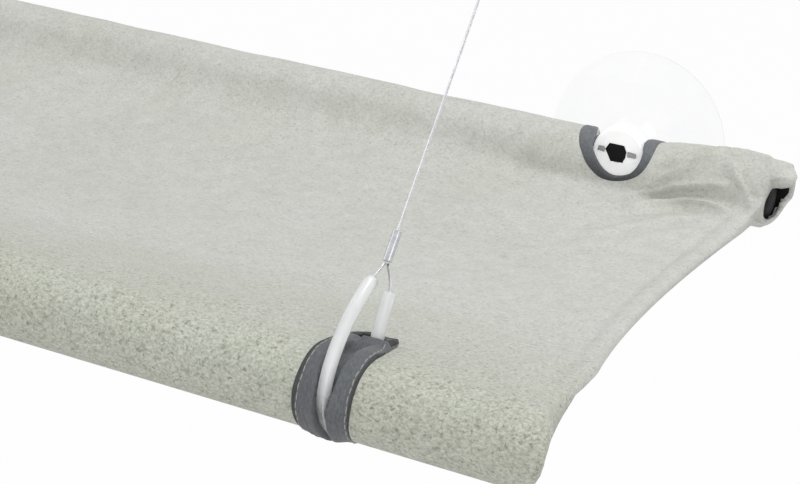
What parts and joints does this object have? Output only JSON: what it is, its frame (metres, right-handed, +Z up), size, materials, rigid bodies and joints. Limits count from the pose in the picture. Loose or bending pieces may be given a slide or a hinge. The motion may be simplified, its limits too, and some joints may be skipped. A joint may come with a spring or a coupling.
{
  "type": "window mounted cat perch",
  "caption": "Felt cat hammock slung on two rails that hangs on a window from clear suction cups and steel cables and folds up.",
  "frame": {"origin": "on the glass plane, midway between the axes of the two lower suction cups, at the height of those axes", "axes": "+Y out of the room into the glass, +X along the rails to the right as seen from the room, +Z up"},
  "size_m": [0.58, 0.3133, 0.4731],
  "materials": {
    "clear_pvc": "clear soft plastic, polished",
    "black_plastic": "fine moulded grain",
    "steel_wire": "stranded steel wire",
    "ferrule_alloy": "crimped, satin",
    "black_steel": "black powder coat",
    "pin_steel": "zinc plated",
    "felt": "needled felt, light grey-green melange",
    "binding_tape": "woven dark grey tape with pale stitching",
    "milky_silicone": "milky translucent silicone"
  },
  "bodies": {
    "window_side": {"lower_cup_left": "clear_pvc", "lower_cup_right": "clear_pvc", "upper_cup_left": "clear_pvc", "upper_cup_right": "clear_pvc", "head_plug_left": "black_plastic", "head_plug_right": "black_plastic", "upper_loop_left": "steel_wire", "upper_loop_right": "steel_wire", "upper_ferrule_left": "ferrule_alloy", "upper_ferrule_right": "ferrule_alloy", "cable_left": "steel_wire", "cable_right": "steel_wire"},
    "bed": {"rear_rail": "black_steel", "front_rail": "black_steel", "pin_blocks_left": "black_plastic", "pin_blocks_right": "black_plastic", "cup_pin_left": "pin_steel", "cup_pin_right": "pin_steel", "rear_end_cap_left": "black_plastic", "rear_end_cap_right": "black_plastic", "front_end_cap_left": "black_plastic", "front_end_cap_right": "black_plastic", "spreader_left": "black_steel", "spreader_right": "black_steel", "rear_saddle_left": "black_plastic", "rear_saddle_right": "black_plastic", "front_saddle_left": "black_plastic", "front_saddle_right": "black_plastic", "saddle_screws": "pin_steel", "socket_screws": "pin_steel", "felt_bed": "felt", "rear_sleeve": "felt", "front_sleeve": "felt", "rear_binding_left": "binding_tape", "rear_binding_right": "binding_tape", "front_binding_left": "binding_tape", "front_binding_right": "binding_tape", "loop_tube_left": "milky_silicone", "loop_tube_right": "milky_silicone", "lower_loop_left": "steel_wire", "lower_loop_right": "steel_wire", "lower_ferrule_left": "ferrule_alloy", "lower_ferrule_right": "ferrule_alloy"}
  },
  "joints": [
    {"name": "bed_fold", "type": "hinge", "parent": "window_side", "child": "bed", "pos_m": [0, -0.022, 0], "axis": [-1, 0, 0], "range_deg": [0, 75], "deforming": ["cable_left", "cable_right"]}
  ]
}
